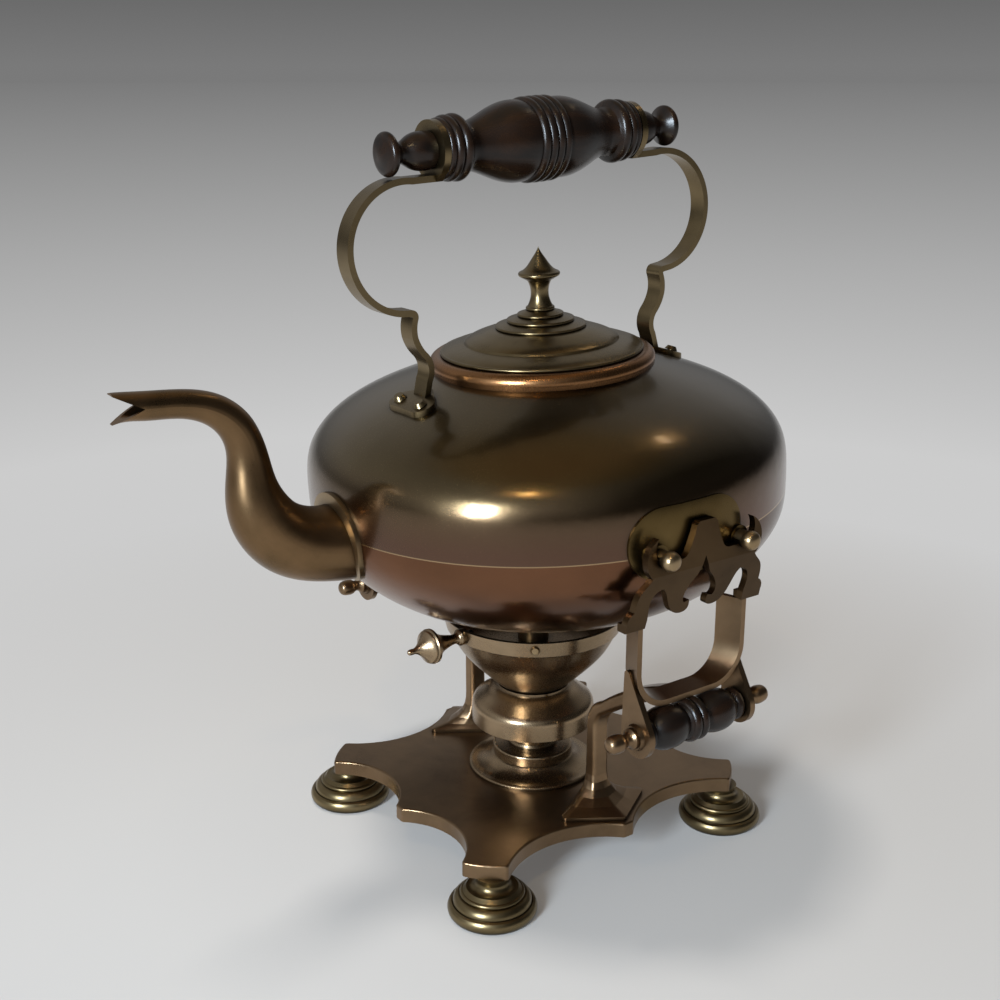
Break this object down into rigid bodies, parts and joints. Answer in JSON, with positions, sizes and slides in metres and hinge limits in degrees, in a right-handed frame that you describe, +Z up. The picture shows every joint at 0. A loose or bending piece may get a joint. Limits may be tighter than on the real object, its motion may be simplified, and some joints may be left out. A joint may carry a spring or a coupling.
{
  "type": "spirit kettle on stand",
  "caption": "Bulbous copper kettle with beak spout and turned overhead grip, hung by pins in a brass cradle stand with side grips over a spirit burner.",
  "frame": {"origin": "on the table, at the middle of the four feet", "axes": "+Z up, +X towards the back of the kettle so that the spout points to -X, -Y the near side"},
  "size_m": [0.2956, 0.2298, 0.3246],
  "materials": {
    "bronzed_copper": "patinated satin copper",
    "red_copper": "reddish satin copper",
    "collar_copper": "polished copper",
    "spout_brass": "brown satin brass",
    "light_brass": "satin brass",
    "olive_bronze": "dark patinated bronze",
    "dark_wood": "turned, dark stained and waxed",
    "stand_brass": "brown satin cast brass",
    "foot_brass": "dark satin brass",
    "burner_brass": "turned satin brass",
    "wick_cotton": "woven cotton"
  },
  "bodies": {
    "stand": {"base_plate": "stand_brass", "foot_front_near": "foot_brass", "foot_front_far": "foot_brass", "foot_rear_near": "foot_brass", "foot_rear_far": "foot_brass", "foot_screws": "stand_brass", "support_pillar_near": "stand_brass", "support_pillar_far": "stand_brass", "support_screws": "stand_brass", "side_frame_near": "stand_brass", "side_frame_far": "stand_brass", "cradle_near": "stand_brass", "cradle_far": "stand_brass", "side_grip_near": "dark_wood", "side_grip_far": "dark_wood", "side_rod_near": "stand_brass", "side_rod_far": "stand_brass", "side_knobs_near": "stand_brass", "side_knobs_far": "stand_brass", "burner_socket": "burner_brass", "socket_screws": "stand_brass"},
    "burner": {"burner_stem": "burner_brass", "burner_nut": "stand_brass", "burner_skirt": "burner_brass", "burner_bowl": "burner_brass", "burner_handle": "burner_brass", "burner_screws": "light_brass", "burner_cover": "burner_brass", "wick_tube": "light_brass", "wick": "wick_cotton"},
    "front_pins": {"front_pins": "light_brass"},
    "kettle": {"upper_shell": "bronzed_copper", "lower_shell": "red_copper", "lid_collar": "collar_copper", "spout": "spout_brass", "spout_flange": "light_brass", "side_plate_near": "light_brass", "side_plate_far": "light_brass", "rear_pins": "light_brass", "handle_bracket_front": "olive_bronze", "handle_bracket_rear": "olive_bronze", "handle_rivets": "olive_bronze", "handle_rod": "stand_brass", "handle_grip": "dark_wood", "handle_knob_front": "dark_wood", "handle_knob_rear": "dark_wood"},
    "lid": {"lid_dome": "olive_bronze", "lid_sleeve": "olive_bronze", "lid_knob": "olive_bronze", "lid_knob_nut": "stand_brass"}
  },
  "joints": [
    {"name": "kettle_lift", "type": "slide", "parent": "stand", "child": "front_pins", "axis": [0, 0, 1], "range_m": [0, 0.03]},
    {"name": "pour_tilt", "type": "hinge", "parent": "front_pins", "child": "kettle", "pos_m": [-0.0207, 0, 0.1603], "axis": [0, -1, 0], "range_deg": [0, 6]},
    {"name": "lid_lift", "type": "slide", "parent": "kettle", "child": "lid", "axis": [-0.0523, 0, 0.9986], "range_m": [0, 0.02]},
    {"name": "burner_turn", "type": "hinge", "parent": "stand", "child": "burner", "pos_m": [0, 0, 0.03], "axis": [0, 0, 1], "continuous": true}
  ]
}
